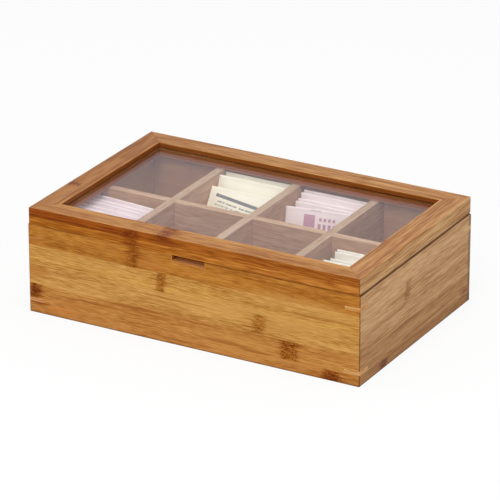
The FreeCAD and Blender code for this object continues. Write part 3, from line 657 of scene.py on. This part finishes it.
def brass(name, scale):
    """Brushed brass with some tarnish. scale: how fine the brush marks are."""
    t = material_tree(name)
    xyz = t.place()
    across = BRUSH_ACROSS * scale
    brushed = t.noise(t.scaled(xyz, BRUSH_ALONG * scale, across, across), 3.0)
    tarnish = t.noise(t.evenly(xyz, TARNISH_SCALE), 2.0)
    return t.finish(Base_Color=t.mix(t.smooth(tarnish, 0.35, 0.75), BRASS, TARNISHED), Metallic=1.0,
                    Roughness=t.smooth(brushed, 0.3, 0.7, 0.28, 0.45),
                    Normal=t.bump(brushed, BRUSH_DEPTH, 0.5))


dress("window_pane", pane())
hinge_brass, screw_brass = brass("brass_hinge", 1.0), brass("brass_screw", 2.5)
for label in nodes:
    if label.startswith("hinge_"):
        dress(label, screw_brass if "screws" in label else hinge_brass)


# ---------------------------------------------------------------- sachets' paper

PRINT_GREY, PRINT_STRIPE = linear("6A7468"), linear("4A4C55")
PRINT_PINK, PRINT_SMALL = linear("B05080"), linear("807880")
PRINT_SLOPE, PRINT_SOFT, PRINT_ROW = math.tan(math.radians(7.3)), 0.25, 3.4
PAPER_DEPTH, CRIMP_PITCH, FIBRE_SCALE, CLOUD_SCALE = 0.06, 1.3, 1.4, 0.06


def paper(name, face, shade, print_mark=None):
    """Thin coated paper: faint fibres, a crimped top, and a plain mark where one is printed."""
    t = material_tree(name)
    across, down, _ = t.split(t.node("ShaderNodeUVMap", uv_map="face").outputs[0])
    xyz = t.place()
    fibres = t.noise(t.evenly(xyz, FIBRE_SCALE), 4.0, 0.65)
    cloud = t.noise(t.evenly(xyz, CLOUD_SCALE), 2.0)
    colour = t.mix(t.smooth(cloud, 0.3, 0.75), face, shade)
    colour = t.mix(t.times(fibres, 0.06), colour, shade)
    crimp = t.times(t.math("SINE", t.times(across, math.tau / CRIMP_PITCH)), t.fade(down, 2.6, 3.4))
    if print_mark is not None:
        colour = print_mark(t, across, down, colour)
    return t.finish(Base_Color=colour, Roughness=t.smooth(fibres, 0.3, 0.7, 0.55, 0.7),
                    Normal=t.bump(t.total(fibres, crimp), PAPER_DEPTH, 0.5))


def bar(t, across, down, left, right, top, bottom):
    """A printed rectangle on a sachet's face, in millimetres from its left and top edges."""
    def between(value, low, high):
        return t.times(t.smooth(value, low - PRINT_SOFT, low + PRINT_SOFT),
                       t.fade(value, high - PRINT_SOFT, high + PRINT_SOFT))

    return t.times(between(across, left, right), between(down, top, bottom))


def cream_print(t, across, down, colour):
    """A dark stripe over rows of fine dashes, which all fall towards the right."""
    level = t.minus(down, t.times(across, PRINT_SLOPE))
    stripe = bar(t, across, level, left=6.7, right=60.0, top=4.6, bottom=7.5)
    rows = t.times(bar(t, across, level, left=8.0, right=58.0, top=9.0, bottom=24.0),
                   t.smooth(t.math("SINE", t.times(level, math.tau / PRINT_ROW)), -0.1, 0.3))
    dashes = t.smooth(t.noise(t.combine(t.times(across, 0.7), t.times(down, 0.3), 0.0), 1.0), 0.4, 0.5)
    colour = t.mix(t.times(rows, dashes, 0.75), colour, PRINT_GREY)
    return t.mix(t.times(stripe, 0.9), colour, PRINT_STRIPE)


def rose_print(t, across, down, colour):
    """A plain block beside two rows of blocks in pink, with one small grey bar above."""
    def row(left, right, top, bottom, step):
        beat = t.math("COSINE", t.times(t.minus(across, left + step / 2), math.tau / step))
        return t.times(bar(t, across, down, left, right, top, bottom), t.smooth(beat, -0.6, 0.0))

    block = bar(t, across, down, left=17, right=27, top=4.8, bottom=15.5)
    rows = t.larger(row(left=30, right=46, top=6.6, bottom=9.4, step=4.0),
                    row(left=29, right=47, top=11.8, bottom=19.0, step=4.5))
    colour = t.mix(t.times(t.larger(block, rows), 0.72), colour, PRINT_PINK)
    small = bar(t, across, down, left=22.5, right=32, top=0.6, bottom=1.6)
    return t.mix(t.times(small, 0.5), colour, PRINT_SMALL)


# The face and the shade of each group's paper.
PAPER_COLOURS = {
    "lavender": (linear("FDF1EE"), linear("F4E4E4")),
    "cream": (linear("FAF5DC"), linear("F4EFD2")),
    "rose": (linear("FBEEE8"), linear("F2E2DE")),
    "ivory": (linear("FFFCEC"), linear("FBF7E2")),
}
PAPERS = {group: paper(f"paper_{group}", *colours) for group, colours in PAPER_COLOURS.items()}
PRINTED = {"cream_sachet_3": paper("paper_cream_printed", *PAPER_COLOURS["cream"], cream_print),
           "rose_sachet_5": paper("paper_rose_printed", *PAPER_COLOURS["rose"], rose_print)}


# ---------------------------------------------------------------- sachets' shape

# Each group as in the CAD: its compartment by column and row, the free width at its left and
# right, the thickness of one sachet, and a Stand for each one, counted from the back. fall:
# how far the top edges fall towards the right, since the filling has slipped.
Group = namedtuple("Group", "column row left_gap right_gap thickness stack fall")
# How far a sachet's top is below the rim, how far it leans and is turned, in degrees, and
# the free depth behind it.
Stand = namedtuple("Stand", "drop lean turn spare", defaults=(0, 0))

SACHET_EDGE, SACHET_GAP = 1.0, 0.2
SACHETS = {
    "lavender": Group(0, "front", 1.5, 2.4, 7.0, [
        Stand(4.7, 3, spare=1.5), Stand(5, 3), Stand(4.4, 4), Stand(5.2, 4.5), Stand(4.8, 5),
        Stand(5.4, 5.5), Stand(4.6, 6)], fall=3.0),
    "cream": Group(1, "back", 0.6, 3.3, 8.0, [
        Stand(2, 14, spare=2.8), Stand(1.2, 22, spare=2.5), Stand(6.9, 33, spare=2.3)], fall=0.0),
    "rose": Group(2, "back", 2.2, 2.6, 4.5, [
        Stand(3.4, 6, spare=5), Stand(4.2, 7), Stand(7.6, 8), Stand(8.3, 9), Stand(8.2, 11, turn=8.7)],
        fall=0.0),
    "ivory": Group(3, "front", 7.4, 1.0, 4.0, [
        Stand(8.8, 4, spare=1.2), Stand(9.2, 5), Stand(12.2, 6, spare=3.5), Stand(8.9, 7, spare=8.5),
        Stand(8.3, 8)], fall=0.0),
}
MESH_COLUMNS, MESH_ROWS = 44, 40
TOP_SEAM, SIDE_SEAM, FOOT_SEAM, PAPER_HALF, PAPER_ROOM = 3.0, 3.0, 1.5, 0.22, 0.15
# How softly the filling swells from the sides and the ends, how full it is at the top and
# overall, and what share of the half thickness it takes.
SIDE_ROUNDING, END_ROUNDING, FULL_AT_TOP, FULLER, BULGE = 6.0, 5.0, 0.75, 1.12, 0.9
# The top edge: how far it stays below the CAD's, how far it bows, and its crimps.
TOP_ROOM, TOP_BOW, CRIMP_DEPTH, CRIMP_LENGTH = 0.3, 0.6, 0.1, 2.2
# Folds in the paper: how fast they change across and down, and how much they do.
CREASE, CREASE_SHARE, WRINKLE, WRINKLE_DEPTH, FLUTTER = (0.09, 0.07), 0.22, (0.3, 0.22), 0.12, (0.06, 0.03)


def sachet_mesh(name, width, height, thickness, fall, seed):
    """A sealed paper envelope: flat crimped seams, a soft pillow between them, small creases.

    It stands on the origin along X, its face towards -Y, in millimetres. Its top edge
    falls towards the right.
    """
    swell = thickness / 2 - PAPER_HALF - PAPER_ROOM
    rng = random.Random(seed)
    shift = Vector((rng.uniform(0, 50), rng.uniform(0, 50), rng.uniform(0, 50)))
    sag, wave = rng.uniform(-0.5, 0.5), rng.uniform(0.1, 0.3)

    def pillow(s, d):
        """Half thickness of the filling, s across and d down the sachet, both in mm."""
        from_side = min(s, width - s) - SIDE_SEAM
        from_end = min(d - TOP_SEAM, height - d - FOOT_SEAM)
        if from_side <= 0 or from_end <= 0:
            return 0.0
        rise = (1 - math.exp(-from_side / SIDE_ROUNDING)) * (1 - math.exp(-from_end / END_ROUNDING))
        return swell * min(1.0, rise * (FULL_AT_TOP + (1 - FULL_AT_TOP) * d / height) * FULLER)

    def at(s, d, side):
        """The place of a point on the front (-1) or back (1) sheet."""
        def fold(scale, layer):
            return noise.noise(Vector((s * scale[0], d * scale[1], layer)) + shift)

        lift = pillow(s, d)
        share = lift / swell
        half = (PAPER_HALF + lift * (1 + CREASE_SHARE * fold(CREASE, side * 3.0)) * BULGE
                + share * fold(WRINKLE, side * 5.0) * WRINKLE_DEPTH)
        middle = wave * fold(FLUTTER, 1.0) * (1 - share)
        if d < TOP_SEAM:
            middle += CRIMP_DEPTH * math.sin(s * 2 * math.pi / CRIMP_LENGTH) * (1 - share)
        y = max(-thickness / 2, min(thickness / 2, middle + side * half))
        bow = sag * TOP_BOW * math.sin(math.pi * s / width) * max(0.0, 1 - d / TOP_SEAM)
        top = bow - TOP_ROOM - fall * s / width
        return s - width / 2, y, height - d + top * (1 - d / height)

    mesh = bmesh.new()
    face_uv = mesh.loops.layers.uv.new("face")
    sheets, where = [], {}
    for side in (-1, 1):
        sheet = []
        for r in range(MESH_ROWS + 1):
            line = []
            for c in range(MESH_COLUMNS + 1):
                s, d = width * c / MESH_COLUMNS, height * r / MESH_ROWS
                vertex = mesh.verts.new(at(s, d, side))
                where[vertex] = (s, d)
                line.append(vertex)
            sheet.append(line)
        sheets.append(sheet)
    front_sheet, back_sheet = sheets

    def face(*corners):
        made = mesh.faces.new(corners)
        made.smooth = True
        for loop in made.loops:
            loop[face_uv].uv = where[loop.vert]

    for r in range(MESH_ROWS):
        for c in range(MESH_COLUMNS):
            for sheet, order in ((front_sheet, (0, 3, 2, 1)), (back_sheet, (0, 1, 2, 3))):
                around = (sheet[r][c], sheet[r][c + 1], sheet[r + 1][c + 1], sheet[r + 1][c])
                face(*(around[corner] for corner in order))
    ring = ([(0, c) for c in range(MESH_COLUMNS)]
            + [(r, MESH_COLUMNS) for r in range(MESH_ROWS)]
            + [(MESH_ROWS, c) for c in range(MESH_COLUMNS, 0, -1)]
            + [(r, 0) for r in range(MESH_ROWS, 0, -1)])
    for (r1, c1), (r2, c2) in zip(ring, ring[1:] + ring[:1]):
        face(front_sheet[r1][c1], front_sheet[r2][c2], back_sheet[r2][c2], back_sheet[r1][c1])
    bmesh.ops.recalc_face_normals(mesh, faces=mesh.faces)
    data = bpy.data.meshes.new(name)
    mesh.to_mesh(data)
    mesh.free()
    return data


def stand_sachets(group, facts):
    """Stand a group's sachets in their compartment, each leaning on the one behind."""
    width = PITCH - DIVIDER - facts.left_gap - facts.right_gap
    middle = PITCH * facts.column - INNER_X + facts.left_gap + width / 2
    foot = INNER_Y if facts.row == "back" else -DIVIDER / 2
    lean_behind = turn_behind = 0.0
    for number, stand in enumerate(facts.stack, start=1):
        lean, turn = math.radians(stand.lean), math.radians(stand.turn)
        height = (RIM - FLOOR_TOP - stand.drop) / math.cos(lean)
        room = (facts.thickness if number > 1 else facts.thickness / 2) + SACHET_GAP
        foot -= (room + height * abs(math.sin(lean - lean_behind))) / math.cos(lean_behind)
        foot -= width / 2 * abs(math.sin(turn - turn_behind)) + stand.spare
        raised = FLOOR_TOP + SACHET_EDGE / 2 * math.sin(lean)
        label = f"{group}_sachet_{number}"
        data = sachet_mesh(f"{label}_paper", width, height, facts.thickness, facts.fall, f"{group}{number}")
        place = (Matrix.Translation(Vector((middle, foot, raised)) * MM) @ Matrix.Rotation(turn, 4, "Z")
                 @ Matrix.Rotation(-lean, 4, "X") @ Matrix.Scale(MM, 4))
        data.transform(place)
        data.materials.append(PRINTED.get(label, PAPERS[group]))
        piece = bpy.data.objects.new(f"{label}_paper", data)
        bpy.context.scene.collection.objects.link(piece)
        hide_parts(label)
        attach(piece, "base")
        lean_behind, turn_behind = lean, turn


for group, facts in SACHETS.items():
    stand_sachets(group, facts)

# ---------------------------------------------------------------- floor, world and lamps

FLOOR_HALF, FLOOR_GLOW, FLOOR_CLOUD = 6.0, 0.86, 0.002
FLOOR_TONES = (0.86, 0.86, 0.86, 1), (0.88, 0.88, 0.88, 1)
SKY_FILL, SKY_FILL_COLOUR, SKY_MIRRORED = 0.58, (0.98, 0.99, 1.0, 1), (0.94, 0.91, 1.1, 1)
LAMP_TARGET = Vector((0, 0, 0.05))


def plain_floor():
    """A white floor that keeps the object's soft shadow."""
    t = material_tree("floor_white")
    cloud = t.noise(t.scaled(t.place(), FLOOR_CLOUD, FLOOR_CLOUD, 0.0))
    diffuse = t.shader("ShaderNodeBsdfDiffuse", Color=t.mix(cloud, *FLOOR_TONES))
    glow = t.shader("ShaderNodeEmission", Color=WHITE)
    return t.end(t.choose(t.times(t.seen(), FLOOR_GLOW), diffuse, glow))


def plain_sky(world):
    """A soft fill for the object, and white where the camera sees the sky."""
    t = Tree(world)
    path = t.node("ShaderNodeLightPath").outputs
    mirrored = t.math("SUBTRACT", path["Is Glossy Ray"], path["Is Transmission Ray"], clamp=True)
    fill = t.shader("ShaderNodeBackground", Color=SKY_FILL_COLOUR, Strength=SKY_FILL)
    white = t.shader("ShaderNodeBackground", Color=t.mix(mirrored, WHITE, SKY_MIRRORED), Strength=1.0)
    t.end(t.choose(t.seen(), fill, white), "ShaderNodeOutputWorld")


def lamp(name, place, size, power):
    """A square soft box that faces the middle of the box."""
    data = bpy.data.lights.new(name, "AREA")
    data.shape, data.size, data.energy = "SQUARE", size, power
    item = bpy.data.objects.new(name, data)
    item.location = place
    item.rotation_mode = "QUATERNION"
    item.rotation_quaternion = (Vector(place) - LAMP_TARGET).to_track_quat("Z", "Y")
    bpy.context.scene.collection.objects.link(item)


floor_data = bpy.data.meshes.new("floor")
floor_data.from_pydata([(x * FLOOR_HALF, y * FLOOR_HALF, 0) for x, y in ((-1, -1), (1, -1), (1, 1), (-1, 1))],
                       [], [(0, 1, 2, 3)])
floor_data.materials.append(plain_floor())
floor = bpy.data.objects.new("floor", floor_data)
bpy.context.scene.collection.objects.link(floor)

bpy.context.scene.world = bpy.data.worlds.new("studio")
plain_sky(bpy.context.scene.world)

lamp("key", (0.5, -1.75, 1.65), 1.4, 25.0)
lamp("top", (0.2, -0.3, 2.2), 1.4, 13.5)
lamp("side", (2.0, -0.5, 1.0), 1.2, 4.6)
